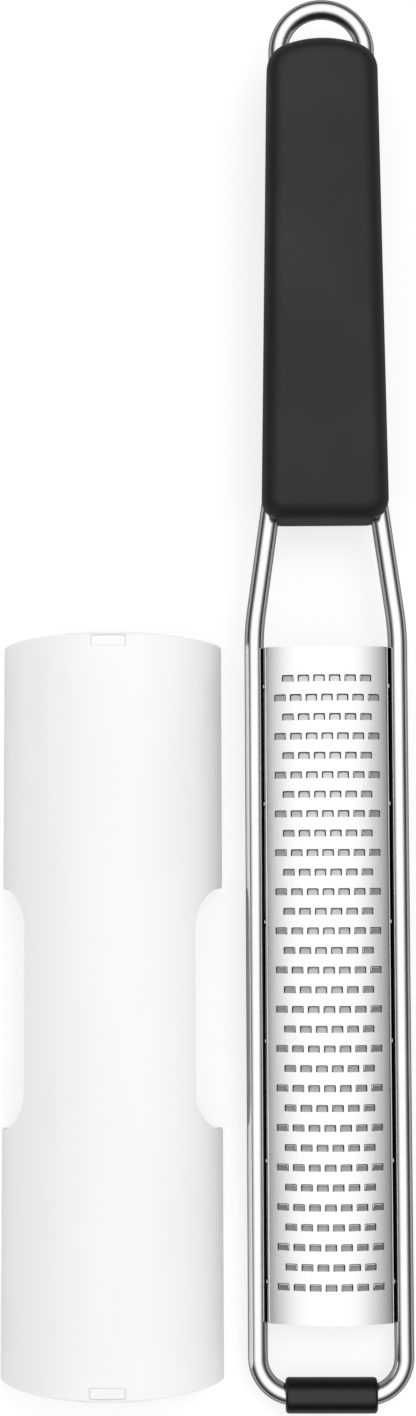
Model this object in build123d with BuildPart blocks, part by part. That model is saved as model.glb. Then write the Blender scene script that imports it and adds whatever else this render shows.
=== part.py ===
from build123d import *
from math import asin, atan2, cos, degrees, hypot, radians, sin, sqrt
import os

# Rasp zester with its push-on blade cover, in millimetres.
# The tool is drawn in its own frame first: the rod's centre plane is XY, the foot crossbar lies
# along X through the origin, the handle is towards +Y and the teeth point up, along +Z.
# Each piece is then seated as it lies on a table: on its foot sleeve and the front lower edge of
# the handle. The cover lies beside it, on the table. The table is at Z = 0.

# Rod frame
rod_diameter = 4.5
side_spacing = 33.4
handle_rod_spacing = 20.6
corner_radius = 8.5
flare_angle = 8.0
flare_bend_radius = 60.0
flare_setback = 2.5
loop_reach = 11.2

# Blade
blade_start = 16.6
blade_length = 154.4
sheet_thickness = 0.5
arch_slope = 24.0
bend_radius = 1.2
flange_top = 1.4
flange_drop = 1.6
blade_gap = 0.05
flange_corner_radius = 1.0

# Teeth
row_pitch = 4.47
tooth_pitch = 3.6
foot_row_margin = 8.5
handle_row_margin = 7.1
column_margin = 1.5
tooth_width = 2.7
tooth_length = 1.5
slot_width = 0.36
tongue_thickness = 0.3
tongue_rise = 0.38
tongue_root = 0.1

# Plug welds
welds_per_side = 6
weld_diameter = 1.8
weld_margin = 9.0
weld_bead = 0.2

# Handle
throat_length = 29.5
handle_length = 114.1
handle_front_width = 29.6
handle_rear_width = 26.0
handle_thickness = 19.0
handle_rear_sagitta = 3.6
handle_rear_radius = 6.5
handle_edge_radius = 4.5
handle_corner_ease = 0.5
grip_wall = 2.0
post_diameter = 5.0
post_height = 4.0
post_count = 3
post_clearance = 0.1
post_margin = 18.0

# Foot sleeve
sleeve_diameter = 8.0
sleeve_length = 20.9
sleeve_end_radius = 0.8

# Blade cover
cover_flank = 6.85
cover_height = 20.0
cover_length = 172.0
cover_wall = 1.4
cover_end_bow = 1.2
cover_start = 1.6
cover_gap = 5.45
notch_length = 55.2
notch_height = 11.2
notch_corner_radius = 8.6
window_width = 8.0
window_length = 2.3
window_rim = 0.7
snap_clearance = 0.1
snap_bite = 0.6
snap_nose = 0.5
snap_foot = 2.5
snap_length = 12.0
snap_inset = 8.0

overrun = 1.0

# Worked-out places
rod_radius = rod_diameter / 2
side_offset = side_spacing / 2
handle_rod_offset = handle_rod_spacing / 2
sleeve_radius = sleeve_diameter / 2
half_thickness = handle_thickness / 2
handle_front = blade_start + blade_length + throat_length
handle_rear = handle_front + handle_length
loop_top = handle_rear + loop_reach

# The blade's flanges stand just inside the rods, and its arch starts above them
flange_face = side_offset - rod_radius - blade_gap
bend_turn = 90 - arch_slope
arch_half_width = flange_face - bend_radius * (1 - cos(radians(bend_turn)))
arch_radius = arch_half_width / sin(radians(arch_slope))
arch_crown = flange_top + bend_radius * sin(radians(bend_turn)) + arch_radius * (1 - cos(radians(arch_slope)))
arch_centre = arch_crown - arch_radius

# The tool leans on the rounded lower front edge of the handle and on the foot sleeve
lean_run = handle_front + handle_edge_radius
lean_drop = half_thickness - handle_edge_radius
lean_reach = hypot(lean_run, lean_drop)
lean = degrees(atan2(lean_drop, lean_run) + asin((handle_edge_radius - sleeve_radius) / lean_reach))
seat = Location((0, 0, sleeve_radius), (lean, 0, 0))

# The cover's arch, and where the rods touch it from inside
cover_half = side_offset + rod_radius + cover_flank
cover_middle = cover_start + cover_length / 2
cover_radius = (cover_half**2 + cover_height**2) / (2 * cover_height)
cover_centre = cover_height - cover_radius
cover_inner_radius = cover_radius - cover_wall
rod_reach = cover_inner_radius - rod_radius - snap_clearance
rod_seat_height = cover_centre + sqrt(rod_reach**2 - side_offset**2)


def rod_half_path():
    """Centre line of the rod's right half, from the foot's middle to the loop's top."""
    turn = radians(flare_angle)
    shift = side_offset - handle_rod_offset
    slant = (shift - 2 * flare_bend_radius * (1 - cos(turn))) / sin(turn)
    flare_run = slant * cos(turn) + 2 * flare_bend_radius * sin(turn)
    flare_middle = handle_front - flare_setback
    with BuildLine() as path:
        foot = Line((0, 0), (side_offset - corner_radius, 0))
        corner = JernArc(foot @ 1, foot % 1, corner_radius, 90)
        side = Line(corner @ 1, (side_offset, flare_middle - flare_run / 2))
        bend_in = JernArc(side @ 1, side % 1, flare_bend_radius, flare_angle)
        flare = Line(bend_in @ 1, bend_in @ 1 + slant * (bend_in % 1))
        bend_back = JernArc(flare @ 1, flare % 1, flare_bend_radius, -flare_angle)
        inner = Line(bend_back @ 1, (handle_rod_offset, loop_top - rod_radius - handle_rod_offset))
        JernArc(inner @ 1, inner % 1, handle_rod_offset, 90)
    return path.line


# Frame rod: one closed loop of round rod
with BuildPart() as frame_rod:
    half_path = rod_half_path()
    with BuildSketch(Plane.YZ):
        Circle(rod_radius)
    sweep(path=half_path)
    mirror(about=Plane.YZ)


# Rows of teeth. They alternate between one tooth more and one fewer, half a pitch apart
first_row = blade_start + foot_row_margin
row_count = 1 + int((blade_length - foot_row_margin - handle_row_margin) / row_pitch)
short_row_teeth = int(2 * (arch_half_width - column_margin - tooth_width / 2) / tooth_pitch)
long_rows = [first_row + row_pitch * row for row in range(0, row_count, 2)]
short_rows = [first_row + row_pitch * row for row in range(1, row_count, 2)]
short_columns = [(i - (short_row_teeth - 1) / 2) * tooth_pitch for i in range(short_row_teeth)]
long_columns = [(i - short_row_teeth / 2) * tooth_pitch for i in range(short_row_teeth + 1)]
tooth_places = [(x, y) for y in long_rows for x in long_columns]
tooth_places += [(x, y) for y in short_rows for x in short_columns]


def tongue_plane(x):
    """Upright plane along the blade through one column of teeth, square to the arch there."""
    angle = asin(x / arch_radius)
    return Plane(
        origin=(x, 0, arch_centre + arch_radius * cos(angle)),
        x_dir=(0, 1, 0),
        z_dir=(cos(angle), 0, -sin(angle)),
    )


# Blade: an arched sheet with a flange down each side
with BuildPart() as blade:
    with BuildSketch(Plane.XZ.offset(-blade_start)):
        with BuildLine():
            flange = Line((flange_face, -flange_drop), (flange_face, flange_top))
            bend = JernArc(flange @ 1, flange % 1, bend_radius, bend_turn)
            JernArc(bend @ 1, bend % 1, arch_radius, arch_slope)
            mirror(about=Plane.YZ)
            offset(amount=sheet_thickness, side=Side.LEFT)
        make_face()
    extrude(amount=-blade_length)
    fillet(blade.edges().filter_by(Axis.X).group_by(Axis.Z)[0], flange_corner_radius)

    # Holes for the plug welds, through both flanges
    weld_pitch = (blade_length - 2 * weld_margin) / (welds_per_side - 1)
    weld_places = [(blade_start + weld_margin + weld_pitch * i, 0) for i in range(welds_per_side)]
    with BuildSketch(Plane.YZ):
        with Locations(*weld_places):
            Circle(weld_diameter / 2)
    extrude(amount=flange_face + overrun, both=True, mode=Mode.SUBTRACT)

    # Each tooth is an opening with a tongue that rises towards the handle
    with BuildSketch():
        with Locations(*tooth_places):
            Rectangle(tooth_width, tooth_length)
    extrude(amount=arch_crown + overrun, mode=Mode.SUBTRACT, clean=False)
    for columns, rows in ((long_columns, long_rows), (short_columns, short_rows)):
        with BuildSketch(*[tongue_plane(x) for x in columns]):
            for y in rows:
                with BuildLine():
                    root = y - tooth_length / 2 - tongue_root
                    tip = y + tooth_length / 2 - slot_width
                    Polyline(
                        (root, -tongue_thickness),
                        (root, 0),
                        (tip, tongue_rise),
                        (tip, tongue_rise - tongue_thickness),
                        close=True,
                    )
                make_face()
        extrude(amount=tooth_width / 2 - slot_width, both=True, clean=False)

# Plug welds: each fills its hole in a flange and meets the rod
with BuildPart() as weld_plugs:
    weld_bead_face = flange_face - sheet_thickness - weld_bead
    with BuildSketch(Plane.YZ.offset(weld_bead_face)):
        with Locations(*weld_places):
            Circle(weld_diameter / 2)
    extrude(amount=side_offset - weld_bead_face)
    mirror(about=Plane.YZ)
    add(frame_rod.part, mode=Mode.SUBTRACT)


def handle_block(inset):
    """The handle's rounded block, made smaller all round by the inset."""
    rear_corner = handle_rear - handle_rear_sagitta
    with BuildPart() as block:
        with BuildSketch() as outline:
            with BuildLine():
                right = Line((handle_front_width / 2, handle_front), (handle_rear_width / 2, rear_corner))
                rear = ThreePointArc(right @ 1, (0, handle_rear), (-handle_rear_width / 2, rear_corner))
                Polyline(rear @ 1, (-handle_front_width / 2, handle_front), right @ 0)
            make_face()
            fillet(outline.vertices().group_by(Axis.Y)[-1], handle_rear_radius)
            fillet(outline.vertices().group_by(Axis.Y)[0], handle_edge_radius + handle_corner_ease)
            offset(amount=-inset, kind=Kind.TANGENT)
        extrude(amount=half_thickness - inset, both=True)
        rims = block.faces().filter_by(Axis.Z).edges()
        fillet(rims, handle_edge_radius - inset)
    return block.part


post_pitch = (handle_length - 2 * post_margin - handle_rear_sagitta) / (post_count - 1)
post_places = [(0, handle_front + post_margin + post_pitch * i) for i in range(post_count)]

# Lower half of the rigid core, with its posts
with BuildPart() as handle_core_lower:
    add(handle_block(grip_wall))
    split(bisect_by=Plane.XY, keep=Keep.BOTTOM)
    with BuildSketch():
        with Locations(*post_places):
            Circle(post_diameter / 2)
    extrude(amount=post_height)
    add(frame_rod.part, mode=Mode.SUBTRACT)

# Upper half of the rigid core, with sockets over the posts
with BuildPart() as handle_core_upper:
    add(handle_block(grip_wall))
    split(bisect_by=Plane.XY, keep=Keep.TOP)
    with BuildSketch():
        with Locations(*post_places):
            Circle(post_diameter / 2 + post_clearance)
    extrude(amount=post_height + post_clearance, mode=Mode.SUBTRACT)
    add(frame_rod.part, mode=Mode.SUBTRACT)

# Grip: the soft outside of the handle, moulded over the core and round the rods
with BuildPart() as handle_grip:
    add(handle_block(0))
    add(handle_block(grip_wall), mode=Mode.SUBTRACT)
    add(frame_rod.part, mode=Mode.SUBTRACT)

# Foot sleeve: a soft tube on the crossbar, which gives way round the start of the corner bends
with BuildPart() as foot_sleeve:
    with BuildSketch(Plane.YZ):
        Circle(sleeve_radius)
    extrude(amount=sleeve_length / 2, both=True)
    fillet(foot_sleeve.edges().filter_by(GeomType.CIRCLE), sleeve_end_radius)
    add(frame_rod.part, mode=Mode.SUBTRACT)


def cover_inner_half(height):
    """Half width of the cover's inner wall at a height above its rim."""
    return sqrt(cover_inner_radius**2 - (height - cover_centre) ** 2)


snap_tip = side_offset + rod_radius - snap_bite
snap_top = rod_seat_height - sqrt(rod_radius**2 - (rod_radius - snap_bite) ** 2) - snap_clearance

# Blade cover: an arched shell, open below and at both ends
with BuildPart() as blade_cover:
    with BuildSketch(Plane.XZ.offset(-cover_start)):
        with BuildLine():
            arch = ThreePointArc((cover_half, 0), (0, cover_height), (-cover_half, 0))
            Line(arch @ 1, arch @ 0)
        make_face()
        with BuildLine():
            inner_foot = cover_inner_half(0)
            cavity = ThreePointArc((inner_foot, 0), (0, cover_height - cover_wall), (-inner_foot, 0))
            Line(cavity @ 1, cavity @ 0)
        make_face(mode=Mode.SUBTRACT)
    extrude(amount=-cover_length)

    # Snap ribs hold the rods from below, near both ends
    for side in (1, -1):
        for rib_start in (cover_start + snap_inset, cover_start + cover_length - snap_inset - snap_length):
            with BuildSketch(Plane.XZ.offset(-rib_start)):
                with BuildLine():
                    Polyline(
                        (side * snap_tip, snap_top),
                        (side * (cover_inner_half(snap_top) + cover_wall / 2), snap_top),
                        (side * (cover_inner_half(snap_foot) + cover_wall / 2), snap_foot),
                        (side * snap_tip, snap_top - snap_nose),
                        close=True,
                    )
                make_face()
            extrude(amount=-snap_length)

    # Both ends bow outwards in plan
    with BuildSketch():
        with BuildLine():
            foot_end = ThreePointArc(
                (-cover_half, cover_start + cover_end_bow),
                (0, cover_start),
                (cover_half, cover_start + cover_end_bow),
            )
            handle_end = ThreePointArc(
                (cover_half, cover_start + cover_length - cover_end_bow),
                (0, cover_start + cover_length),
                (-cover_half, cover_start + cover_length - cover_end_bow),
            )
            Line(foot_end @ 1, handle_end @ 0)
            Line(handle_end @ 1, foot_end @ 0)
        make_face()
    extrude(amount=cover_height + overrun, mode=Mode.INTERSECT)

    # Thumb notches in both sides, where the rods can be pushed out of the cover
    with BuildSketch(Plane.YZ) as notch:
        with Locations((cover_middle, notch_height / 2 - overrun / 2)):
            Rectangle(notch_length, notch_height + overrun)
        fillet(notch.vertices().group_by(Axis.Y)[-1], notch_corner_radius)
    extrude(amount=cover_half + overrun, both=True, mode=Mode.SUBTRACT)

    # A small window through the crown at each end
    window_offset = cover_length / 2 - window_rim - window_length / 2
    with BuildSketch(Plane.XY.offset(cover_height + overrun)):
        with Locations((0, cover_middle - window_offset), (0, cover_middle + window_offset)):
            Rectangle(window_width, window_length)
    extrude(amount=-(cover_height / 2), mode=Mode.SUBTRACT)

# Seat the tool on the table and set the cover beside it
beside = Location((-(side_offset + rod_radius + cover_gap + cover_half), 0, 0))
placed = {
    "frame_rod": (frame_rod, seat),
    "blade": (blade, seat),
    "weld_plugs": (weld_plugs, seat),
    "handle_core_lower": (handle_core_lower, seat),
    "handle_core_upper": (handle_core_upper, seat),
    "handle_grip": (handle_grip, seat),
    "foot_sleeve": (foot_sleeve, seat),
    "blade_cover": (blade_cover, beside),
}

os.makedirs("parts", exist_ok=True)
for name, (piece, place) in placed.items():
    piece.part.move(place)
    piece.part.label = name
    export_step(piece.part, f"parts/{name}.step")
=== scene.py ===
"""Rasp zester with its blade cover: the looks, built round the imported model.

Every piece is drawn in the tool's own frame, as the construction is, and then seated on the
table: the rod's centre plane is XY, the foot crossbar lies along X, and the handle is towards +Y.
The pieces hold their sizes in millimetres and degrees, and their meshes are in metres.
"""

import logging
from collections.abc import Callable, Iterator, Mapping
from contextlib import contextmanager
from dataclasses import dataclass
from enum import Enum, IntEnum
from math import acos, asin, atan2, cos, hypot, pi, radians, sin, sqrt

import bmesh
import bpy
from mathutils import Euler, Matrix, Vector


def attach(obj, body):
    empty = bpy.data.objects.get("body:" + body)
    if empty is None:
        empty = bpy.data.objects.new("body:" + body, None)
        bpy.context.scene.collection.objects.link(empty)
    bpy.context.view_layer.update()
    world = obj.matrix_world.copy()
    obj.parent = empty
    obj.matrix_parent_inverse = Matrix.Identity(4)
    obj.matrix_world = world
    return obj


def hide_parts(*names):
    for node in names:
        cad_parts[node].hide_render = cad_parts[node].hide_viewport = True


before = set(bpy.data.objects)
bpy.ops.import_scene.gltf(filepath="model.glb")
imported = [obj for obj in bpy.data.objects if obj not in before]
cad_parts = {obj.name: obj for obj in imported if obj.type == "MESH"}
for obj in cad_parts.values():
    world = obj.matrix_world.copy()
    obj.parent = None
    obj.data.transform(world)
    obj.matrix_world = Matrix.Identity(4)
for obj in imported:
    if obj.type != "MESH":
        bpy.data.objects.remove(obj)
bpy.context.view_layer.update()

# One millimetre, and how near two points are that count as one, in metres
MM = 0.001
NEAR = 2e-5

# The photograph's height, and the height of the camera's sensor
PHOTO_HEIGHT_PX = 1416
SENSOR_MM = 36.0

# Numbers of the Mix node's colour sockets
MIX_LOW = 6
MIX_HIGH = 7
MIX_RESULT = 2

Colour = tuple[float, float, float]
Span = tuple[float, float]

log = logging.getLogger("rasp_zester")


class Body(Enum):
    """The two things that move apart: the tool, and its loose cover."""

    ZESTER = "zester"
    COVER = "cover"


class Slot(Enum):
    """Material slots of the record."""

    ROD = "rod"
    BLADE = "blade"
    WELD = "weld"
    CORE = "core"
    GRIP = "grip"
    SLEEVE = "sleeve"
    COVER = "cover"


class Part(Enum):
    """Kinds of mesh element that an operator can act on."""

    EDGE = "EDGE"
    FACE = "FACE"


class Column(IntEnum):
    """Grid lines of one tooth, from its middle outwards."""

    MIDDLE = 0
    TONGUE = 1
    TONGUE_EDGE = 2
    CUSP = 3
    OPENING = 4
    BORDER = 5


class Row(IntEnum):
    """Grid lines of one tooth, from the foot side to the handle side."""

    FOOT_BORDER = 0
    ROOT = 1
    OPENING_FOOT = 2
    TONGUE_MIDDLE = 3
    TIP = 4
    TIP_EDGE = 5
    CUSP = 6
    OPENING_HANDLE = 7
    HANDLE_BORDER = 8


# Shader nodes


class Wire:
    """A shader socket that takes part in Python sums, each of which adds a Math node."""

    def __init__(self, tree: bpy.types.NodeTree, socket: bpy.types.NodeSocket) -> None:
        """Keep the socket and the tree that it is in."""
        self.tree = tree
        self.socket = socket

    def math(self, operation: str, *terms: "Wire | float", clamp: bool = False) -> "Wire":
        """Add one Math node.

        Args:
            operation: the Math node's operation.
            terms: its inputs, in order.
            clamp: True to keep the result from 0 to 1.

        Returns:
            The node's value.
        """
        node = self.tree.nodes.new("ShaderNodeMath")
        node.operation = operation
        node.use_clamp = clamp
        for socket, term in zip(node.inputs, terms):
            plug(self.tree, socket, term)
        return Wire(self.tree, node.outputs[0])

    def __add__(self, other: "Wire | float") -> "Wire":
        """Sum."""
        return self.math("ADD", self, other)

    __radd__ = __add__

    def __sub__(self, other: "Wire | float") -> "Wire":
        """Difference."""
        return self.math("SUBTRACT", self, other)

    def __rsub__(self, other: float) -> "Wire":
        """Difference from a number."""
        return self.math("SUBTRACT", other, self)

    def __mul__(self, other: "Wire | float") -> "Wire":
        """Product."""
        return self.math("MULTIPLY", self, other)

    __rmul__ = __mul__

    def __truediv__(self, other: "Wire | float") -> "Wire":
        """Quotient."""
        return self.math("DIVIDE", self, other)

    def __pow__(self, other: float) -> "Wire":
        """Power."""
        return self.math("POWER", self, other)

    def step(self, low: float, high: float) -> "Wire":
        """Rise smoothly from 0 at low to 1 at high.

        Args:
            low: value that gives 0.
            high: value that gives 1.

        Returns:
            The stepped value.
        """
        node = self.tree.nodes.new("ShaderNodeMapRange")
        node.interpolation_type = "SMOOTHSTEP"
        for name, term in (("Value", self), ("From Min", low), ("From Max", high)):
            plug(self.tree, node.inputs[name], term)
        return Wire(self.tree, node.outputs[0])

    def between(self, low: float, high: float, soft: float) -> "Wire":
        """Mark a range of values.

        Args:
            low: where the range starts.
            high: where it ends.
            soft: half width of the slope at each end.

        Returns:
            1 inside the range, and 0 outside.
        """
        return self.step(low - soft, low + soft) * (1 - self.step(high - soft, high + soft))


def plug(tree: bpy.types.NodeTree, socket: bpy.types.NodeSocket, term: object) -> None:
    """Link a wire to a socket, or set the socket to a plain value.

    Args:
        tree: the node tree.
        socket: the input socket.
        term: a Wire, a socket, a number or a colour.
    """
    if isinstance(term, Wire):
        tree.links.new(term.socket, socket)
    elif isinstance(term, bpy.types.NodeSocket):
        tree.links.new(term, socket)
    elif hasattr(term, "__len__") and len(term) == 3 and socket.type == "RGBA":
        socket.default_value = (*term, 1.0)
    else:
        socket.default_value = term


class Graph:
    """The node tree of one material or world."""

    def __init__(self, owner: bpy.types.Material | bpy.types.World) -> None:
        """Start an empty tree.

        Args:
            owner: the material or world that holds the tree.
        """
        owner.use_nodes = True
        self.tree = owner.node_tree
        self.tree.nodes.clear()

    def node(
        self,
        kind: str,
        settings: Mapping[str, object] | None = None,
        inputs: Mapping[str | int, object] | None = None,
    ) -> bpy.types.Node:
        """Add a node of any kind.

        Args:
            kind: the node's type.
            settings: its own settings, set first.
            inputs: values or links of its sockets, by name or number.

        Returns:
            The node.
        """
        node = self.tree.nodes.new(kind)
        for name, value in (settings or {}).items():
            setattr(node, name, value)
        for name, term in (inputs or {}).items():
            plug(self.tree, node.inputs[name], term)
        return node

    def wire(self, node: bpy.types.Node, output: str | int = 0) -> Wire:
        """Take a node's output as a wire."""
        return Wire(self.tree, node.outputs[output])

    def place(self, scale: tuple[float, float, float] = (1, 1, 1), lean: float = 0.0) -> Wire:
        """Object coordinates, in metres, stretched and turned into the tool's own frame.

        Args:
            scale: factor for each axis.
            lean: turn about X that takes the seated tool back to its own frame, in radians.

        Returns:
            The vector.
        """
        coords = self.node("ShaderNodeTexCoord")
        turned = self.node(
            "ShaderNodeMapping",
            {"vector_type": "TEXTURE"},
            {"Vector": coords.outputs["Object"], "Rotation": (lean, 0, 0)},
        )
        mapping = self.node(
            "ShaderNodeMapping", None, {"Vector": turned.outputs[0], "Scale": scale}
        )
        return self.wire(mapping)

    def noise(self, vector: Wire, scale: float, detail: float = 3.0, rough: float = 0.55) -> Wire:
        """Noise from 0 to 1.

        Args:
            vector: where the noise is read.
            scale: features per metre.
            detail: octaves.
            rough: share of the finer octaves.

        Returns:
            The value.
        """
        node = self.node(
            "ShaderNodeTexNoise",
            None,
            {"Vector": vector, "Scale": scale, "Detail": detail, "Roughness": rough},
        )
        return self.wire(node, "Fac")

    def blend(self, factor: Wire, low: object, high: object) -> Wire:
        """Mix two colours.

        Args:
            factor: 0 for the first, 1 for the second.
            low: first colour.
            high: second colour.

        Returns:
            The mixed colour.
        """
        node = self.node(
            "ShaderNodeMix", {"data_type": "RGBA"}, {"Factor": factor, MIX_LOW: low, MIX_HIGH: high}
        )
        return self.wire(node, MIX_RESULT)

    def bump(self, height: Wire, strength: float, distance: float) -> Wire:
        """Surface normal from a height.

        Args:
            height: the height, from 0 to 1.
            strength: share of the effect.
            distance: height of 1, in metres.

        Returns:
            The normal.
        """
        node = self.node(
            "ShaderNodeBump",
            None,
            {"Height": height, "Strength": strength, "Distance": distance},
        )
        return self.wire(node)

    def principled(self, inputs: Mapping[str, object]) -> None:
        """End the tree in a Principled shader with these sockets."""
        shader = self.node("ShaderNodeBsdfPrincipled", None, inputs)
        self.node("ShaderNodeOutputMaterial", None, {"Surface": shader.outputs[0]})


@dataclass(frozen=True)
class Layer:
    """One scale of noise in a finish: features per metre, octaves, and where its marks rise."""

    scale: float
    detail: float
    span: Span = (0.0, 1.0)
    rough: float = 0.55

    def read(self, graph: Graph, place: Wire) -> Wire:
        """Plain noise from 0 to 1."""
        return graph.noise(place, self.scale, self.detail, self.rough)

    def marks(self, graph: Graph, place: Wire) -> Wire:
        """Noise that is 0 below its span and 1 above it."""
        return self.read(graph, place).step(*self.span)


@dataclass(frozen=True)
class Finish:
    """A named finish that makes its own material, with heights and distances in metres."""

    name: str
    slot: Slot

    def make(self) -> bpy.types.Material:
        """Make the material.

        Returns:
            A new material with the finish's nodes.
        """
        material = bpy.data.materials.new(self.name)
        self.wire_up(Graph(material))
        return material

    def wire_up(self, graph: Graph) -> None:
        """Add the finish's nodes."""
        raise NotImplementedError


@dataclass(frozen=True)
class CreviceShade:
    """Painted shade: a dark line in the crevice between the blade's flange and the rod, in
    millimetres.
    """

    inner: float = 14.25
    outer: float = 14.85
    start: float = 16.6
    end: float = 171.0
    soft: float = 0.06
    # colour and roughness of the painted shade in the crevice
    colour: Colour = (0.03, 0.027, 0.025)
    roughness: float = 0.3

    def mask(self, graph: Graph, place: Wire) -> Wire:
        """Mark the crevice on both sides of the blade.

        Args:
            graph: the material's nodes.
            place: coordinates in the tool's own frame, in metres.

        Returns:
            1 in the crevice, and 0 elsewhere.
        """
        split = graph.node("ShaderNodeSeparateXYZ", None, {0: place})
        across = graph.wire(split, "X").math("ABSOLUTE", graph.wire(split, "X"))
        along = graph.wire(split, "Y")
        soft = self.soft * MM
        beside = across.between(self.inner * MM, self.outer * MM, soft)
        return beside * along.between(self.start * MM, self.end * MM, soft)


@dataclass(frozen=True)
class DrawnSteel(Finish):
    """Stainless steel, drawn or brushed along Y, with hairline scratches and faint smears.

    The lean is the seated tool's, in radians.
    """

    colour: Colour = (0.88, 0.88, 0.89)
    shade: Colour = (0.80, 0.80, 0.81)
    roughness: float = 0.10
    smear: float = 0.06
    grain_height: float = 2e-6
    # an edge tint below 1 darkens grazing reflections, a painted dark reflection on the rims
    edge_tint: float = 1.0
    # colour of the etched walls, partly their own tone and partly painted shade of the narrow slots
    etched_tone_and_shade: Colour | None = None
    crevice_shade: CreviceShade | None = None
    lean: float = 0.0
    stretch: tuple[float, float, float] = (1.0, 0.025, 1.0)
    grain: Layer = Layer(9000, 4.0, rough=0.7)
    hairline: Layer = Layer(2600, 2.0, (0.62, 0.70))
    patches: Layer = Layer(45, 4.0, (0.35, 0.75))
    specks: Layer = Layer(5200, 2.0, (0.66, 0.74))
    tone_span: Span = (0.25, 0.75)
    etched_span: Span = (0.0, 0.5)
    hairline_rough: float = 0.05
    speck_rough: float = 0.03
    etched_rough: float = 0.4
    grain_depth: float = 0.6
    hairline_depth: float = 0.4
    speck_depth: float = 0.2
    relief: float = 0.5

    def wire_up(self, graph: Graph) -> None:
        """Add the finish's nodes.

        Args:
            graph: the material's empty tree.
        """
        plain = graph.place(lean=self.lean)
        along = graph.place(self.stretch, self.lean)
        grain = self.grain.read(graph, along)
        hairline = self.hairline.marks(graph, along)
        patches = self.patches.read(graph, plain)
        specks = self.specks.marks(graph, plain)
        tone = (grain * 0.5 + patches * 0.5).step(*self.tone_span)
        rough = self.roughness + self.smear * patches.step(*self.patches.span)
        rough = rough + hairline * self.hairline_rough + specks * self.speck_rough
        height = grain * self.grain_depth - hairline * self.hairline_depth
        height = height - specks * self.speck_depth
        colour = graph.blend(tone, self.shade, self.colour)
        # etched walls: more roughness for their matte finish, and a dark brown colour that is
        # partly their own tone and partly painted shade of the narrow slots
        if self.etched_tone_and_shade:
            mark = graph.node("ShaderNodeAttribute", {"attribute_name": "etch"})
            wall = graph.wire(mark, "Fac").step(*self.etched_span)
            colour = graph.blend(wall, colour, self.etched_tone_and_shade)
            rough = rough + wall * self.etched_rough
        # painted shade: the crevice between the blade's flange and the rod is darkened in the base
        # colour
        if self.crevice_shade:
            painted_shade = self.crevice_shade.mask(graph, plain)
            colour = graph.blend(painted_shade, colour, self.crevice_shade.colour)
            rough = rough + painted_shade * self.crevice_shade.roughness
        graph.principled(
            {
                "Base Color": colour,
                "Metallic": 1.0,
                "Roughness": rough,
                "Specular Tint": (self.edge_tint, self.edge_tint, self.edge_tint),
                "Normal": graph.bump(height, self.relief, self.grain_height),
            }
        )


@dataclass(frozen=True)
class SoftTouch(Finish):
    """Black soft-touch rubber with a fine moulded texture, rubbed smoother in patches."""

    colour: Colour = (0.0065, 0.0065, 0.0067)
    worn: Colour = (0.0095, 0.0095, 0.0097)
    roughness: float = 0.50
    shine: float = 0.5
    stipple_height: float = 2.2e-5
    stipple: Layer = Layer(3400, 2.0)
    pores: Layer = Layer(1500, 1.0, (0.60, 0.75))
    patches: Layer = Layer(38, 4.0, (0.40, 0.75))
    dust: Layer = Layer(7000, 1.0, (0.70, 0.80))
    worn_span: Span = (0.35, 0.80)
    worn_share: float = 0.6
    dust_share: float = 0.4
    stipple_rough: float = 0.10
    rubbed_rough: float = 0.09
    pore_depth: float = 0.3
    relief: float = 0.45

    def wire_up(self, graph: Graph) -> None:
        """Add the finish's nodes.

        Args:
            graph: the material's empty tree.
        """
        plain = graph.place()
        stipple = self.stipple.read(graph, plain)
        pores = self.pores.marks(graph, plain)
        patches = self.patches.read(graph, plain)
        dust = self.dust.marks(graph, plain)
        rough = self.roughness + self.stipple_rough * stipple
        worn = patches.step(*self.worn_span) * self.worn_share + dust * self.dust_share
        height = stipple - pores * self.pore_depth
        graph.principled(
            {
                "Base Color": graph.blend(worn, self.colour, self.worn),
                "Roughness": rough - self.rubbed_rough * patches.step(*self.patches.span),
                "Specular IOR Level": self.shine,
                "Normal": graph.bump(height, self.relief, self.stipple_height),
            }
        )


@dataclass(frozen=True)
class MouldedPlastic(Finish):
    """Satin moulded plastic with faint flow marks and fine handling scratches."""

    colour: Colour = (0.865, 0.865, 0.87)
    shade: Colour = (0.84, 0.84, 0.845)
    roughness: float = 0.38
    subsurface: float = 0.15
    scatter: tuple[float, float, float] = (0.004, 0.004, 0.004)
    flow_stretch: tuple[float, float, float] = (1.0, 0.35, 1.0)
    scratch_stretch: tuple[float, float, float] = (1.0, 0.03, 1.0)
    flow: Layer = Layer(55, 4.0, (0.3, 0.8))
    satin: Layer = Layer(4200, 2.0)
    scratch: Layer = Layer(1400, 2.0, (0.66, 0.71))
    satin_rough: float = 0.07
    flow_rough: float = 0.06
    scratch_rough: float = 0.06
    satin_depth: float = 0.7
    scratch_depth: float = 0.3
    relief: float = 0.35
    relief_height: float = 1.2e-5

    def wire_up(self, graph: Graph) -> None:
        """Add the finish's nodes.

        Args:
            graph: the material's empty tree.
        """
        flow = self.flow.read(graph, graph.place(self.flow_stretch))
        satin = self.satin.read(graph, graph.place())
        scratch = self.scratch.marks(graph, graph.place(self.scratch_stretch))
        rough = self.roughness + self.satin_rough * satin - self.flow_rough * flow
        height = satin * self.satin_depth - scratch * self.scratch_depth
        graph.principled(
            {
                "Base Color": graph.blend(flow.step(*self.flow.span), self.colour, self.shade),
                "Roughness": rough + self.scratch_rough * scratch,
                "Subsurface Weight": self.subsurface,
                "Subsurface Radius": self.scatter,
                "Subsurface Scale": 1.0,
                "Normal": graph.bump(height, self.relief, self.relief_height),
            }
        )


# Mesh work


def select(*pieces: bpy.types.Object) -> None:
    """Select just these pieces.

    Args:
        pieces: the pieces, of which the first becomes the active one.
    """
    bpy.ops.object.select_all(action="DESELECT")
    for piece in pieces:
        piece.select_set(True)
    bpy.context.view_layer.objects.active = pieces[0]


def join(*pieces: bpy.types.Object) -> None:
    """Join pieces into the first one."""
    select(*pieces)
    bpy.ops.object.join()


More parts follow.
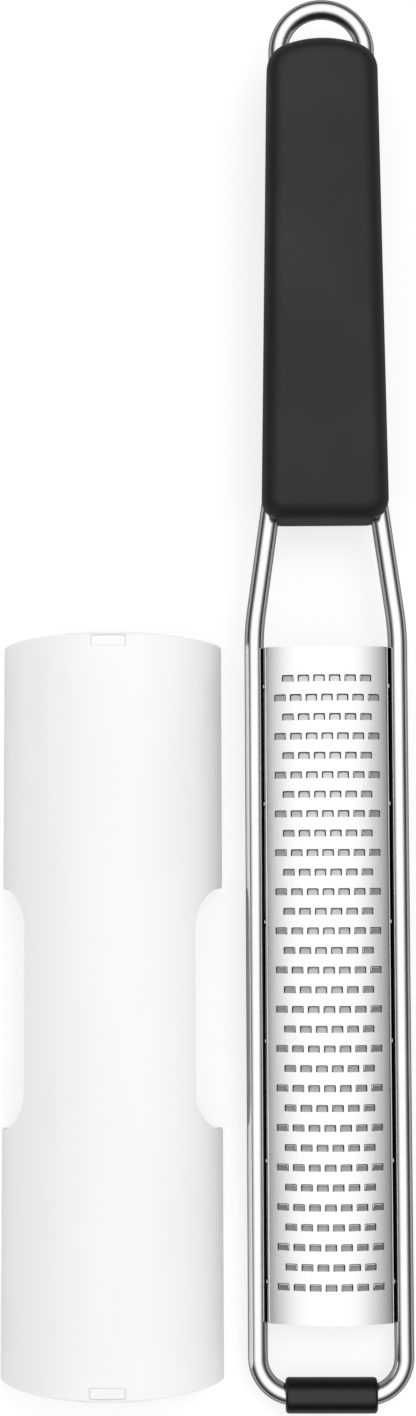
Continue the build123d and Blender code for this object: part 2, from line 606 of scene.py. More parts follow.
@contextmanager
def editing(piece: bpy.types.Object) -> Iterator[None]:
    """Edit one mesh, starting with nothing selected.

    Args:
        piece: the mesh's object.

    Returns:
        A context in which the mesh is in edit mode.
    """
    select(piece)
    bpy.ops.object.mode_set(mode="EDIT")
    bpy.ops.mesh.select_all(action="DESELECT")
    try:
        yield
    finally:
        bpy.ops.object.mode_set(mode="OBJECT")


def pick(piece: bpy.types.Object, part: Part, test: Callable[[object], bool]) -> None:
    """Select just the elements of the edited mesh that pass a test.

    Args:
        piece: the mesh in edit mode.
        part: the kind of element.
        test: says whether an element is wanted.
    """
    bpy.ops.mesh.select_mode(type=part.value)
    bpy.ops.mesh.select_all(action="DESELECT")
    mesh = bmesh.from_edit_mesh(piece.data)
    for element in {Part.EDGE: mesh.edges, Part.FACE: mesh.faces}[part]:
        if test(element):
            element.select_set(True)
    bmesh.update_edit_mesh(piece.data)


def extrude(x: float, y: float, z: float) -> None:
    """Extrude what is selected along each axis, in metres."""
    bpy.ops.mesh.extrude_region_move(TRANSFORM_OT_translate={"value": (x, y, z)})


def round_edges(radius: float, steps: int) -> None:
    """Bevel the selected edges to a radius, in millimetres, with a number of steps."""
    bpy.ops.mesh.bevel(offset=radius * MM, segments=steps, affect="EDGES")


def merge(distance: float) -> None:
    """Merge all points of the edited mesh that lie nearer than a distance, in metres."""
    bpy.ops.mesh.select_all(action="SELECT")
    bpy.ops.mesh.remove_doubles(threshold=distance)


def face_outwards() -> None:
    """Turn all faces of the edited mesh outwards."""
    bpy.ops.mesh.select_all(action="SELECT")
    bpy.ops.mesh.normals_make_consistent(inside=False)


def apply_modifiers(piece: bpy.types.Object) -> None:
    """Apply every modifier of a piece, in order.

    Args:
        piece: the piece.
    """
    select(piece)
    for modifier in list(piece.modifiers):
        bpy.ops.object.modifier_apply(modifier=modifier.name)


def settle(piece: bpy.types.Object, place: Matrix) -> None:
    """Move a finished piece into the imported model's frame, with its object at the origin."""
    piece.data.transform(place @ piece.matrix_world)
    piece.matrix_world = Matrix.Identity(4)


def smooth(piece: bpy.types.Object, angle: float) -> None:
    """Shade a piece smooth up to an angle, in degrees."""
    select(piece)
    bpy.ops.object.shade_smooth_by_angle(angle=radians(angle))


def report(piece: bpy.types.Object) -> None:
    """Log a piece's name and number of faces."""
    log.info("%s: %d faces", piece.name, len(piece.data.polygons))


@dataclass
class Seat:
    """How the tool lies on the table: on its foot sleeve and the handle's lower front edge."""

    sleeve_radius: float = 4.0
    handle_front: float = 200.5
    edge_radius: float = 4.5
    half_thickness: float = 9.5

    @property
    def lean(self) -> float:
        """Turn about X that lays the tool on the table.

        Returns:
            The angle, in radians.
        """
        run = self.handle_front + self.edge_radius
        drop = self.half_thickness - self.edge_radius
        return atan2(drop, run) + asin((self.edge_radius - self.sleeve_radius) / hypot(run, drop))

    @property
    def matrix(self) -> Matrix:
        """From the tool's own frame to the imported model's frame, in metres."""
        turn = Matrix.Rotation(self.lean, 4, "X")
        return Matrix.Translation((0, 0, self.sleeve_radius * MM)) @ turn


@dataclass
class WireFrame:
    """The closed loop of polished rod that carries the blade and runs through the handle."""

    seat: Seat
    finish: Finish
    radius: float = 2.25
    side_offset: float = 16.7
    handle_offset: float = 10.3
    corner_radius: float = 8.5
    flare_angle: float = 8.0
    flare_radius: float = 60.0
    flare_middle: float = 198.0
    loop_centre: float = 313.25
    ring_points: int = 48
    corner_steps: int = 28
    flare_steps: int = 8
    loop_steps: int = 32
    smooth_angle: float = 60.0

    def run(self, x: float, y: float) -> None:
        """Extrude the selected ring along a straight run, in millimetres."""
        extrude(x * MM, y * MM, 0)

    def turn(self, x: float, y: float, angle: float, steps: int) -> None:
        """Spin the selected ring round an upright axis.

        Args:
            x: X of the axis, in millimetres.
            y: Y of the axis, in millimetres.
            angle: how far to turn, anticlockwise from above.
            steps: rings to add.
        """
        bpy.ops.mesh.spin(
            steps=steps,
            angle=-radians(angle),
            center=(x * MM, y * MM, 0),
            axis=(0, 0, 1),
        )

    def build(self) -> bpy.types.Object:
        """Sweep the right half ring by ring, then mirror it.

        Returns:
            The whole rod.
        """
        bend = radians(self.flare_angle)
        shift = self.side_offset - self.handle_offset
        slant = (shift - 2 * self.flare_radius * (1 - cos(bend))) / sin(bend)
        flare_run = slant * cos(bend) + 2 * self.flare_radius * sin(bend)
        start = self.flare_middle - flare_run / 2
        end = self.flare_middle + flare_run / 2
        bpy.ops.mesh.primitive_circle_add(
            vertices=self.ring_points, radius=self.radius * MM, rotation=(0, pi / 2, 0)
        )
        piece = bpy.context.object
        bpy.ops.object.transform_apply(location=False, rotation=True, scale=False)
        piece.name = "frame_wire"
        corner = self.side_offset - self.corner_radius
        with editing(piece):
            bpy.ops.mesh.select_all(action="SELECT")
            self.run(corner, 0)
            self.turn(corner, self.corner_radius, 90, self.corner_steps)
            self.run(0, start - self.corner_radius)
            inner = self.side_offset - self.flare_radius
            self.turn(inner, start, self.flare_angle, self.flare_steps)
            self.run(-slant * sin(bend), slant * cos(bend))
            outer = self.handle_offset + self.flare_radius
            self.turn(outer, end, -self.flare_angle, self.flare_steps)
            self.run(0, self.loop_centre - end)
            self.turn(0, self.loop_centre, 90, self.loop_steps)
        mirror = piece.modifiers.new("other_side", "MIRROR")
        mirror.use_axis = (True, False, False)
        mirror.merge_threshold = NEAR
        apply_modifiers(piece)
        with editing(piece):
            merge(NEAR)
            face_outwards()
        smooth(piece, self.smooth_angle)
        settle(piece, self.seat.matrix)
        return piece

    def dress(self, piece: bpy.types.Object) -> None:
        """Give the rod its finish and body.

        Args:
            piece: the rod.
        """
        piece.data.materials.append(self.finish.make())
        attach(piece, Body.ZESTER.value)
        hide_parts("frame_rod")


@dataclass
class EtchedBlade:
    """The arched blade: one tooth is drawn flat, repeated in rows, edged, and bent to the arch."""

    seat: Seat
    finish: Finish
    start: float = 16.6
    length: float = 154.4
    sheet: float = 0.5
    arch_slope: float = 24.0
    bend_radius: float = 1.2
    flange_face: float = 14.4
    flange_top: float = 1.4
    flange_length: float = 3.0
    flange_corner: float = 1.0
    row_pitch: float = 4.47
    tooth_pitch: float = 3.6
    first_row: float = 25.1
    row_pairs: int = 16
    long_row: int = 7
    opening: float = 1.35
    opening_end: float = 0.75
    lip: float = 0.24
    slot: float = 0.36
    tongue_lip: float = 0.06
    tongue_rise: float = 0.38
    tongue_root: float = 0.1
    tongue_sheet: float = 0.3
    corner_pull: float = 0.09
    bend_steps: int = 8
    corner_steps: int = 8
    smooth_angle: float = 14.0
    row_merge: float = 0.01
    cusp_merge: float = 0.001

    @property
    def bend_turn(self) -> float:
        """Turn of the bend beside each flange, in radians."""
        return radians(90 - self.arch_slope)

    @property
    def arch_half(self) -> float:
        """Half width of the arch, up to the bends."""
        return self.flange_face - self.bend_radius * (1 - cos(self.bend_turn))

    @property
    def arch_radius(self) -> float:
        """Outer radius of the arch."""
        return self.arch_half / sin(radians(self.arch_slope))

    @property
    def arch_centre(self) -> float:
        """Height of the arch's centre."""
        top_of_bend = self.flange_top + self.bend_radius * sin(self.bend_turn)
        return top_of_bend - self.arch_radius * cos(radians(self.arch_slope))

    def half_lines(self) -> list[float]:
        """Place the grid lines of one tooth, from its middle outwards.

        Returns:
            Distance across for each Column.
        """
        tongue = self.opening - self.slot
        return [
            0.0,
            tongue,
            tongue + self.tongue_lip,
            self.opening - self.lip,
            self.opening,
            self.tooth_pitch / 2,
        ]

    def along_lines(self) -> list[float]:
        """Place the grid lines of one tooth, from the foot side to the handle side.

        Returns:
            Distance along for each Row.
        """
        end, half = self.opening_end, self.row_pitch / 2
        tip = end - self.slot
        return [
            -half,
            -end - self.tongue_root,
            -end,
            (tip - end) / 2,
            tip,
            tip + self.tongue_lip,
            end - self.lip,
            end,
            half,
        ]

    def heights(self, column: int, row: int, y: float) -> tuple[float, float, float]:
        """Upper and lower height of a grid point of the tooth, and whether it lies on a wall cut by
        the etching.

        Args:
            column: grid line, counted from the tooth's middle.
            row: grid line along the tooth, counted from the foot side.
            y: distance along, from the tooth's middle.

        Returns:
            Upper height, lower height, and 1 for a point on a wall cut by the etching.
        """
        root = -self.opening_end - self.tongue_root
        share = min(max((y - root) / (self.opening_end - self.slot - root), 0.0), 1.0)
        lift = self.tongue_rise * share
        cusp = -self.sheet / 2
        wall_side = column == Column.CUSP and Row.OPENING_FOOT <= row <= Row.CUSP
        wall_end = column < Column.CUSP and row == Row.CUSP
        if wall_side or wall_end or (column, row) == (Column.TONGUE_EDGE, Row.OPENING_FOOT):
            return cusp, cusp, 1.0
        tongue_side = column == Column.TONGUE_EDGE and Row.TONGUE_MIDDLE <= row <= Row.TIP_EDGE
        if tongue_side or (column < Column.TONGUE_EDGE and row == Row.TIP_EDGE):
            edge = lift - self.tongue_sheet / 2
            return edge, edge, 1.0
        if column <= Column.TONGUE and Row.ROOT <= row <= Row.TIP:
            return lift, lift - self.sheet + (self.sheet - self.tongue_sheet) * share, 0.0
        return 0.0, -self.sheet, 0.0

    def tile(self, name: str, x: float, y: float) -> bpy.types.Object:
        """One tooth with the sheet round it, drawn flat.

        Args:
            name: the piece's name.
            x: where its middle lies, across.
            y: where its middle lies, along.

        Returns:
            The upper face of the tooth, with the lower face's heights in an attribute.
        """
        half, ys = self.half_lines(), self.along_lines()
        last = int(Column.BORDER)
        corners = (
            (Column.TONGUE, Row.TIP),
            (Column.TONGUE_EDGE, Row.TIP_EDGE),
            (Column.CUSP, Row.CUSP),
            (Column.OPENING, Row.OPENING_HANDLE),
        )
        end = int(Row.HANDLE_BORDER)
        bpy.ops.mesh.primitive_grid_add(x_subdivisions=2 * last, y_subdivisions=end, size=2)
        piece = bpy.context.object
        piece.name = name
        etch = piece.data.attributes.new("etch", "FLOAT", "POINT")
        under = piece.data.attributes.new("under", "FLOAT", "POINT")
        place = {}
        for vert in piece.data.vertices:
            column = round((vert.co.x + 1) * last) - last
            row = round((vert.co.y + 1) / 2 * end)
            place[vert.index] = (abs(column), row)
            px, py = half[abs(column)], ys[row]
            if row in (Row.FOOT_BORDER, Row.HANDLE_BORDER):
                px = abs(column) * half[last] / last
            if (abs(column), row) in corners:
                px, py = px - self.corner_pull, py - self.corner_pull
            top, low, mark = self.heights(abs(column), row, ys[row])
            vert.co = Vector((x + (px if column > 0 else -px), y + py, top)) * MM
            etch.data[vert.index].value = mark
            under.data[vert.index].value = low * MM

        def in_gap(face: bmesh.types.BMFace) -> bool:
            """Tell whether a face lies in the slot round the tongue.

            Args:
                face: a face of the grid.

            Returns:
                True beside the tongue or past its tip.
            """
            columns, rows = zip(*(place[v.index] for v in face.verts))
            across = (min(columns), max(columns)) == (Column.TONGUE_EDGE, Column.CUSP)
            side = across and min(rows) >= Row.OPENING_FOOT and max(rows) <= Row.CUSP
            tip = (min(rows), max(rows)) == (Row.TIP_EDGE, Row.CUSP) and max(columns) <= Column.CUSP
            return side or tip

        with editing(piece):
            pick(piece, Part.FACE, in_gap)
            bpy.ops.mesh.delete(type="FACE")
        return piece

    def rows_of(self, name: str, count: int, y: float) -> bpy.types.Object:
        """Every second row of teeth.

        Args:
            name: the piece's name.
            count: teeth in a row.
            y: middle of the first row.

        Returns:
            The rows.
        """
        piece = self.tile(name, -(count - 1) / 2 * self.tooth_pitch, y)
        steps = (
            ("teeth", count, (self.tooth_pitch * MM, 0, 0)),
            ("rows", self.row_pairs, (0, 2 * self.row_pitch * MM, 0)),
        )
        for title, number, offset in steps:
            array = piece.modifiers.new(title, "ARRAY")
            array.count = number
            array.use_relative_offset = False
            array.use_constant_offset = True
            array.constant_offset_displace = offset
            array.use_merge_vertices = title == "teeth"
            array.merge_threshold = NEAR
        apply_modifiers(piece)
        return piece

    def widen(self, piece: bpy.types.Object, edge: float, step: float, count: int) -> None:
        """Extrude both long sides of the sheet outwards.

        Args:
            piece: the sheet.
            edge: where its sides are now, in millimetres.
            step: width of each new strip.
            count: number of strips.
        """
        for side in (1, -1):
            limit = side * edge * MM

            def at_side(line: bmesh.types.BMEdge) -> bool:
                """Tell whether an edge of the mesh lies on the side."""
                return all(abs(v.co.x - limit) < NEAR for v in line.verts)

            with editing(piece):
                pick(piece, Part.EDGE, at_side)
                for _ in range(count):
                    extrude(side * step * MM, 0, 0)

    def lengthen(self, piece: bpy.types.Object) -> None:
        """Extrude the sheet's two ends to the blade's full length.

        Args:
            piece: the sheet.
        """
        ys = [v.co.y for v in piece.data.vertices]
        for old, new in ((min(ys), self.start * MM), (max(ys), (self.start + self.length) * MM)):
            with editing(piece):
                pick(piece, Part.EDGE, lambda e: all(abs(v.co.y - old) < NEAR for v in e.verts))
                extrude(0, new - old, 0)

    def close(self, piece: bpy.types.Object) -> None:
        """Add the lower face, join it to the upper one, and round the flanges' corners.

        Args:
            piece: the flat upper face, with the lower face's heights in an attribute.
        """
        upper = len(piece.data.vertices)
        with editing(piece):
            bpy.ops.mesh.select_all(action="SELECT")
            bpy.ops.mesh.duplicate()
            bpy.ops.mesh.flip_normals()
        under = piece.data.attributes["under"]
        for vert in piece.data.vertices[upper:]:
            vert.co.z = under.data[vert.index].value
        with editing(piece):
            merge(self.cusp_merge * MM)
            pick(piece, Part.EDGE, lambda e: e.is_boundary)
            bpy.ops.mesh.bridge_edge_loops()
            limit = max(v.co.x for v in piece.data.vertices) - NEAR
            ends = (self.start * MM, (self.start + self.length) * MM)

            def corner(edge: bmesh.types.BMEdge) -> bool:
                """Tell whether an edge is an upright corner of a flange.

                Args:
                    edge: an edge of the closed sheet.

                Returns:
                    True at the sheet's four corners.
                """
                foot, head = edge.verts
                upright = abs(foot.co.z - head.co.z) > self.sheet * MM / 2
                at_end = min(abs(foot.co.y - end) for end in ends) < NEAR
                return upright and at_end and abs(foot.co.x) > limit

            pick(piece, Part.EDGE, corner)
            round_edges(self.flange_corner, self.corner_steps)

    def bend(self, piece: bpy.types.Object) -> None:
        """Bend the flat sheet to its arch, its two bends and its flanges.

        Args:
            piece: the closed flat sheet.
        """
        slope = radians(self.arch_slope)
        bend_length = self.bend_radius * self.bend_turn
        for vert in piece.data.vertices:
            x, y, z = vert.co / MM
            side = 1 if x > 0 else -1
            past = abs(x) - self.arch_half
            if past <= 0:
                angle = asin(abs(x) / self.arch_radius)
                px, pz = abs(x), self.arch_centre + self.arch_radius * cos(angle)
            else:
                turned = min(past / bend_length, 1.0)
                angle = slope + self.bend_turn * turned
                px = self.flange_face - self.bend_radius * (1 - sin(angle))
                pz = self.flange_top + self.bend_radius * cos(angle) - max(past - bend_length, 0.0)
            vert.co = Vector((side * (px + z * sin(angle)), y, pz + z * cos(angle))) * MM

    def build(self) -> bpy.types.Object:
        """Draw, repeat, edge, close and bend the blade.

        Returns:
            The blade.
        """
        border = self.tooth_pitch / 2
        long_half = self.long_row * border
        sheet = self.rows_of("etched_blade", self.long_row, self.first_row)
        short = self.rows_of("short_rows", self.long_row - 1, self.first_row + self.row_pitch)
        strips = int(Column.BORDER)
        self.widen(short, long_half - border, border / strips, strips)
        join(sheet, short)
        with editing(sheet):
            merge(self.row_merge * MM)
        bend_step = self.bend_radius * self.bend_turn / self.bend_steps
        arch_edge = self.arch_half + self.bend_steps * bend_step
        self.widen(sheet, long_half, self.arch_half - long_half, 1)
        self.widen(sheet, self.arch_half, bend_step, self.bend_steps)
        self.widen(sheet, arch_edge, self.flange_length, 1)
        self.lengthen(sheet)
        self.close(sheet)
        self.bend(sheet)
        smooth(sheet, self.smooth_angle)
        settle(sheet, self.seat.matrix)
        return sheet

    def dress(self, piece: bpy.types.Object) -> None:
        """Give the blade its finish and body.

        Args:
            piece: the blade.
        """
        piece.data.materials.append(self.finish.make())
        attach(piece, Body.ZESTER.value)
        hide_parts("blade")


@dataclass
class BladeCover:
    """The white arched cover, cut flat, rounded on its rims and then bent to its arch."""

    finish: Finish
    middle_x: float = -50.2
    start: float = 1.6
    length: float = 172.0
    half_width: float = 25.8
    height: float = 20.0
    wall: float = 1.4
    end_bow: float = 1.2
    notch_length: float = 55.2
    notch_height: float = 11.2
    notch_radius: float = 8.6
    window_width: float = 8.0
    window_length: float = 2.3
    window_rim: float = 0.7
    rim_round: float = 0.4
    corner_round: float = 0.9
    arch_steps: int = 72
    notch_steps: int = 14
    rib_tip: float = 18.35
    rib_top: float = 7.38
    rib_foot: float = 2.5
    rib_nose: float = 0.5
    rib_wall: float = 0.7
    rib_length: float = 12.0
    rib_inset: float = 8.0
    rib_round: float = 0.15
    corner_steps: int = 4
    rim_steps: int = 3
    rib_round_steps: int = 2
    sharp_angle: float = 57.3
    corner_clear: float = 10.0
    rim_margin: float = 0.1
    smooth_angle: float = 32.0

    @property
    def middle(self) -> float:
        """Middle of the cover, along the tool."""
        return self.start + self.length / 2

    @property
    def radius(self) -> float:
        """Outer radius of the arch."""
        return (self.half_width**2 + self.height**2) / (2 * self.height)

    @property
    def centre(self) -> float:
        """Height of the arch's centre, which lies below the rim."""
        return self.height - self.radius

    def unrolled(self, height: float) -> float:
        """Distance over the arch from the crown down to a height, along the outer wall."""
        return self.radius * acos((height - self.height + self.radius) / self.radius)

    def outline(self) -> list[tuple[float, float]]:
        """The flat sheet's outline, anticlockwise from the foot end's right corner.

        Returns:
            Pairs of distance from the crown line and distance along the tool.
        """
        rim = self.unrolled(0)
        lead = self.middle - self.notch_length / 2
        half = [(rim, self.start), (rim, lead)]
        for i in range(self.notch_steps + 1):
            angle = pi / 2 * i / self.notch_steps
            rise = self.notch_height - self.notch_radius * (1 - sin(angle))
            half.append((self.unrolled(rise), lead + self.notch_radius * (1 - cos(angle))))
        side = half + [(x, 2 * self.middle - y) for x, y in reversed(half)]
        return side + [(-x, y) for x, y in reversed(side)]

    def cut(self, along: Vector, distance: float) -> None:
        """Cut the whole edited mesh by a plane.

        Args:
            along: the plane's normal.
            distance: how far the plane is from the origin, in millimetres.
        """
        bpy.ops.mesh.select_all(action="SELECT")
        bpy.ops.mesh.bisect(plane_co=along * distance * MM, plane_no=along)

    def sheet(self) -> bpy.types.Object:
        """Cut the flat sheet with its two windows.

        Returns:
            The sheet, one face thick.
        """
        line = self.outline()
        bpy.ops.mesh.primitive_circle_add(vertices=len(line), fill_type="NGON")
        piece = bpy.context.object
        piece.name = "blade_cover_shell"
        for vert, (x, y) in zip(piece.data.vertices, line):
            vert.co = (x * MM, y * MM, 0)
        half = self.window_width / 2
        offset = self.length / 2 - self.window_rim - self.window_length / 2
        places = [self.middle - offset, self.middle + offset]
        with editing(piece):
            for x in (-half, half):
                self.cut(Vector((1, 0, 0)), x)
            for place in places:
                for y in (place - self.window_length / 2, place + self.window_length / 2):
                    self.cut(Vector((0, 1, 0)), y)

            def in_window(face: bmesh.types.BMFace) -> bool:
                """Tell whether a face lies in a window.

                Args:
                    face: a face of the flat sheet.

                Returns:
                    True in either window.
                """
                centre = face.calc_center_median() / MM
                near = min(abs(centre.y - place) for place in places)
                return abs(centre.x) < half and near < self.window_length / 2

            pick(piece, Part.FACE, in_window)
            bpy.ops.mesh.delete(type="FACE")
        return piece

    def thicken(self, piece: bpy.types.Object) -> None:
        """Give the sheet its wall, and round its corners and rims.

        Args:
            piece: the flat sheet.
        """
        wall = self.wall * MM

        def sharp(edge: bmesh.types.BMEdge) -> bool:
            """Tell whether an edge is sharp."""
            turn = radians(self.sharp_angle)
            return len(edge.link_faces) == 2 and edge.calc_face_angle() > turn

        def upright(edge: bmesh.types.BMEdge) -> bool:
            """Tell whether an edge crosses the wall."""
            return abs(edge.verts[0].co.z - edge.verts[1].co.z) > wall / 2

        def outer_corner(edge: bmesh.types.BMEdge) -> bool:
            """Tell whether an edge is a corner of the outline, and not of a window."""
            outside = abs(edge.verts[0].co.x) > self.corner_clear * MM
            return sharp(edge) and upright(edge) and outside

        with editing(piece):
            bpy.ops.mesh.select_all(action="SELECT")
            extrude(0, 0, -wall)
            face_outwards()
            pick(piece, Part.EDGE, outer_corner)
            round_edges(self.corner_round, self.corner_steps)
            pick(piece, Part.EDGE, lambda e: sharp(e) and not upright(e))
            round_edges(self.rim_round, self.rim_steps)
            rim = self.unrolled(0)
            for i in range(1, self.arch_steps):
                self.cut(Vector((1, 0, 0)), rim * (2 * i / self.arch_steps - 1))

    def bend(self, piece: bpy.types.Object) -> None:
        """Bend the flat wall to the arch, level its rims, and bow its ends.

        Args:
            piece: the flat wall.
        """
        centre = self.centre
        rim = self.unrolled(0)
        inner = self.radius - self.wall
        rim_trim = rim - self.radius * acos(-centre / inner)
        bow_zone = self.window_rim + self.window_length + self.rim_round
        for vert in piece.data.vertices:
            x, y, z = vert.co / MM
            if rim - abs(x) < 2 * self.rim_round + self.rim_margin:
                x -= (rim_trim * -z / self.wall) * (1 if x > 0 else -1)
            angle = x / self.radius
            across = (self.radius + z) * sin(angle)
            for end, way in ((self.start, 1), (self.start + self.length, -1)):
                if abs(y - end) < bow_zone:
                    y += way * self.end_bow * (across / self.half_width) ** 2
            vert.co = Vector((across, y, centre + (self.radius + z) * cos(angle))) * MM

    def rib(self, side: int, start: float) -> bpy.types.Object:
        """One snap rib inside the wall, which holds a rod from below.

        Args:
            side: 1 for the right, -1 for the left.
            start: where it starts along the tool, in millimetres.

        Returns:
            The rib.
        """
        deep = self.rib_wall
        shape = [
            (self.rib_tip, self.rib_top),
            (self.inner_half(self.rib_top) + deep, self.rib_top),
            (self.inner_half(self.rib_foot) + deep, self.rib_foot),
            (self.rib_tip, self.rib_top - self.rib_nose),
        ]
        bpy.ops.mesh.primitive_circle_add(vertices=4, fill_type="NGON")
        piece = bpy.context.object
        for vert, (x, z) in zip(piece.data.vertices, shape):
            vert.co = Vector((side * x, start, z)) * MM
        with editing(piece):
            bpy.ops.mesh.select_all(action="SELECT")
            extrude(0, self.rib_length * MM, 0)
            face_outwards()
            round_edges(self.rib_round, self.rib_round_steps)
        return piece

    def inner_half(self, height: float) -> float:
        """Half width of the inner wall at a height above the rim."""
        return sqrt((self.radius - self.wall) ** 2 - (height - self.centre) ** 2)

    def build(self) -> bpy.types.Object:
        """Cut, thicken, round and bend the sheet, and add its ribs.

        Returns:
            The cover.
        """
        shell = self.sheet()
        self.thicken(shell)
        self.bend(shell)
        near = self.start + self.rib_inset
        far = self.start + self.length - self.rib_inset - self.rib_length
        ribs = [self.rib(side, start) for side in (1, -1) for start in (near, far)]
        join(shell, *ribs)
        smooth(shell, self.smooth_angle)
        weighted = shell.modifiers.new("even_shading", "WEIGHTED_NORMAL")
        weighted.keep_sharp = True
        apply_modifiers(shell)
        settle(shell, Matrix.Translation((self.middle_x * MM, 0, 0)))
        return shell

    def dress(self, piece: bpy.types.Object) -> None:
        """Give the cover its finish and body.

        Args:
            piece: the cover.
        """
        piece.data.materials.append(self.finish.make())
        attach(piece, Body.COVER.value)
        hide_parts("blade_cover")


@dataclass
class Studio:
    """A white table, a soft box overhead, and the camera of the photograph.

    Lengths are in metres, apart from the camera's place.
    """

    focal_px: float = 2202.7
    camera_mm: tuple[float, float, float] = (-19.66, 107.81, 519.05)
    camera_deg: tuple[float, float, float] = (5.504, 0.901, -0.203)
    clip_start: float = 0.01
    floor_size: float = 6.0
    floor_colour: Colour = (0.90, 0.90, 0.90)
    floor_seen_colour: Colour = (0.32, 0.32, 0.32)
    floor_roughness: float = 0.9
    floor_shine: float = 0.1
    floor_glow: float = 0.71
    floor_gloss_glow: float = 0.10
    sky_lean: float = 4.0
    sky_start: float = 0.20
    sky_run: float = 0.65
    sky_low: float = 0.04
    sky_gain: float = 1.14
    sky_power: int = 3
    fill: float = 0.93
    lamp_place: tuple[float, float, float] = (0.5, 0.6, 1.1)
    lamp_aim: tuple[float, float, float] = (-0.03, 0.15, 0.0)
    lamp_size: float = 0.7
    lamp_power: float = 4.0

    def camera(self) -> None:
        """Set up the camera."""
        data = bpy.data.cameras.new("photo_camera")
        data.sensor_width = SENSOR_MM
        data.lens = self.focal_px / PHOTO_HEIGHT_PX * SENSOR_MM
        data.clip_start = self.clip_start
        camera = bpy.data.objects.new("photo_camera", data)
        bpy.context.scene.collection.objects.link(camera)
        turn = Euler([radians(a) for a in self.camera_deg], "XYZ").to_matrix().to_4x4()
        camera.matrix_world = Matrix.Translation(Vector(self.camera_mm) * MM) @ turn
        bpy.context.scene.camera = camera

    def floor(self) -> None:
        """Lay the table, which shows white to the camera and in reflections."""
        bpy.ops.mesh.primitive_plane_add(size=self.floor_size)
        table = bpy.context.object
        table.name = "table_top"
        material = bpy.data.materials.new("white_table")
        graph = Graph(material)
        seen = self.seen(graph)
        shader = graph.node(
            "ShaderNodeBsdfPrincipled",
            None,
            {
                "Base Color": graph.blend(seen, self.floor_colour, self.floor_seen_colour),
                "Roughness": self.floor_roughness,
                "Specular IOR Level": self.floor_shine,
                "Emission Color": (1.0, 1.0, 1.0),
                "Emission Strength": self.emission(graph),
            },
        )
        graph.node("ShaderNodeOutputMaterial", None, {"Surface": shader.outputs[0]})
        table.data.materials.append(material)

    def rays(self, graph: Graph) -> list[Wire]:
        """Tell the kinds of ray apart.

        Args:
            graph: the nodes of the table or the world.

        Returns:
            1 for a ray from the camera, by way of gloss, and through glass, in that order.
        """
        path = graph.node("ShaderNodeLightPath")
        return [graph.wire(path, f"Is {kind} Ray") for kind in ("Camera", "Glossy", "Transmission")]

    def emission(self, graph: Graph) -> Wire:
        """Brightness that the table adds: most to the camera, and less in reflections."""
        camera, glossy, through = self.rays(graph)
        return camera * self.floor_glow + through * self.floor_glow + glossy * self.floor_gloss_glow

    def seen(self, graph: Graph) -> Wire:
        """1 for rays from the camera, or by way of gloss or glass, and 0 for the rest."""
        camera, glossy, through = self.rays(graph)
        return camera.math("MAXIMUM", camera, glossy.math("MAXIMUM", glossy, through))

    def lamp(self) -> None:
        """Hang the soft box, which faces the tool."""
        data = bpy.data.lights.new("soft_box", "AREA")
        data.shape = "RECTANGLE"
        data.size = self.lamp_size
        data.size_y = self.lamp_size
        data.energy = self.lamp_power
        lamp = bpy.data.objects.new("soft_box", data)
        lamp.visible_glossy = False
        bpy.context.scene.collection.objects.link(lamp)
        aim = Vector(self.lamp_aim) - Vector(self.lamp_place)
        turn = aim.to_track_quat("-Z", "Y").to_matrix().to_4x4()
        lamp.matrix_world = Matrix.Translation(self.lamp_place) @ turn

    def world(self) -> None:
        """Surround the table: white to the camera, and grey to all else."""
        world = bpy.data.worlds.new("studio")
        bpy.context.scene.world = world
        graph = Graph(world)
        camera, glossy, _ = self.rays(graph)
        coords = graph.node("ShaderNodeTexCoord")
        split = graph.node("ShaderNodeSeparateXYZ", None, {0: coords.outputs["Generated"]})
        lean = radians(self.sky_lean)
        up = graph.wire(split, "Z") * cos(lean) + graph.wire(split, "Y") * sin(lean)
        rise = (up - self.sky_start) / self.sky_run
        clamped = rise.math("ADD", rise, 0.0, clamp=True)
        sky = self.sky_low + self.sky_gain * clamped**self.sky_power
        tone = glossy * sky + (1 - glossy) * self.fill
        tone = camera.math("MAXIMUM", camera, tone)
        shell = {"Color": (1.0, 1.0, 1.0), "Strength": tone}
        background = graph.node("ShaderNodeBackground", None, shell)
        graph.node("ShaderNodeOutputWorld", None, {"Surface": background.outputs[0]})

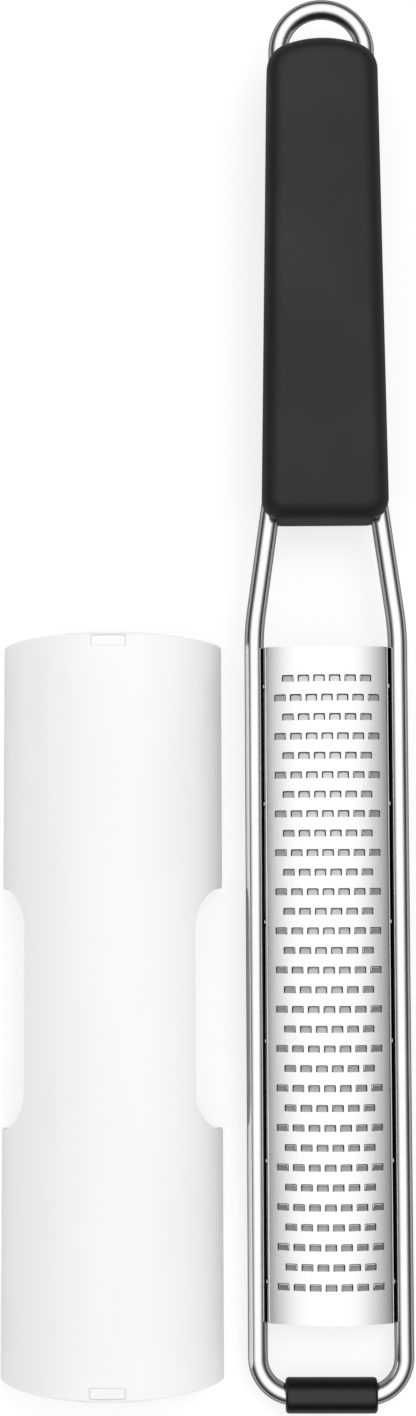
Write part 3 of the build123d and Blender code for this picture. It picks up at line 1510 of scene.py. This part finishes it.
    def build(self) -> None:
        """Set up the whole studio."""
        self.camera()
        self.floor()
        self.world()
        self.lamp()
        bpy.context.scene.view_settings.view_transform = "Standard"


def dress_nodes(finishes: Mapping[str, Finish]) -> None:
    """Give the CAD pieces that stay in view their finishes.

    Args:
        finishes: finish for each CAD node.
    """
    for name, finish in finishes.items():
        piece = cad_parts[name]
        material = finish.make()
        for slot in piece.material_slots:
            slot.material = material
        report(piece)


def main() -> None:
    """Build the pieces in order."""
    logging.basicConfig(level=logging.INFO, format="%(message)s")
    seat = Seat()
    Studio().build()
    polished = DrawnSteel(
        # the rod's low edge tint is a painted dark reflection on its rims
        # the rod's side of the crevice gets painted shade
        "polished_rod", Slot.ROD, roughness=0.14, edge_tint=0.1, crevice_shade=CreviceShade(), lean=seat.lean
    )
    brushed = DrawnSteel(
        "brushed_blade",
        Slot.BLADE,
        colour=(0.92, 0.92, 0.92),
        shade=(0.86, 0.86, 0.86),
        roughness=0.27,
        smear=0.03,
        grain_height=1.5e-6,
        # dark brown etched walls: partly their own tone, partly painted shade of the slots
        etched_tone_and_shade=(0.105, 0.08, 0.068),
        # the blade's flange gets the same painted shade in its crevice
        crevice_shade=CreviceShade(),
        lean=seat.lean,
    )
    weld = DrawnSteel("weld_metal", Slot.WELD, roughness=0.35, grain_height=2e-5)
    foot_rubber = SoftTouch(
        "foot_rubber", Slot.SLEEVE, (0.003, 0.003, 0.003), (0.006, 0.006, 0.006), roughness=0.24
    )
    core = MouldedPlastic(
        "core_plastic", Slot.CORE, (0.05, 0.05, 0.05), (0.04, 0.04, 0.04), 0.5, subsurface=0.0
    )
    makers = (
        WireFrame(seat, polished),
        EtchedBlade(seat, brushed),
        BladeCover(MouldedPlastic("cover_plastic", Slot.COVER)),
    )
    for maker in makers:
        piece = maker.build()
        maker.dress(piece)
        report(piece)
    dress_nodes(
        {
            "weld_plugs": weld,
            "handle_grip": SoftTouch("soft_grip", Slot.GRIP),
            "foot_sleeve": foot_rubber,
            "handle_core_lower": core,
            "handle_core_upper": core,
        }
    )


if __name__ == "__main__":
    main()
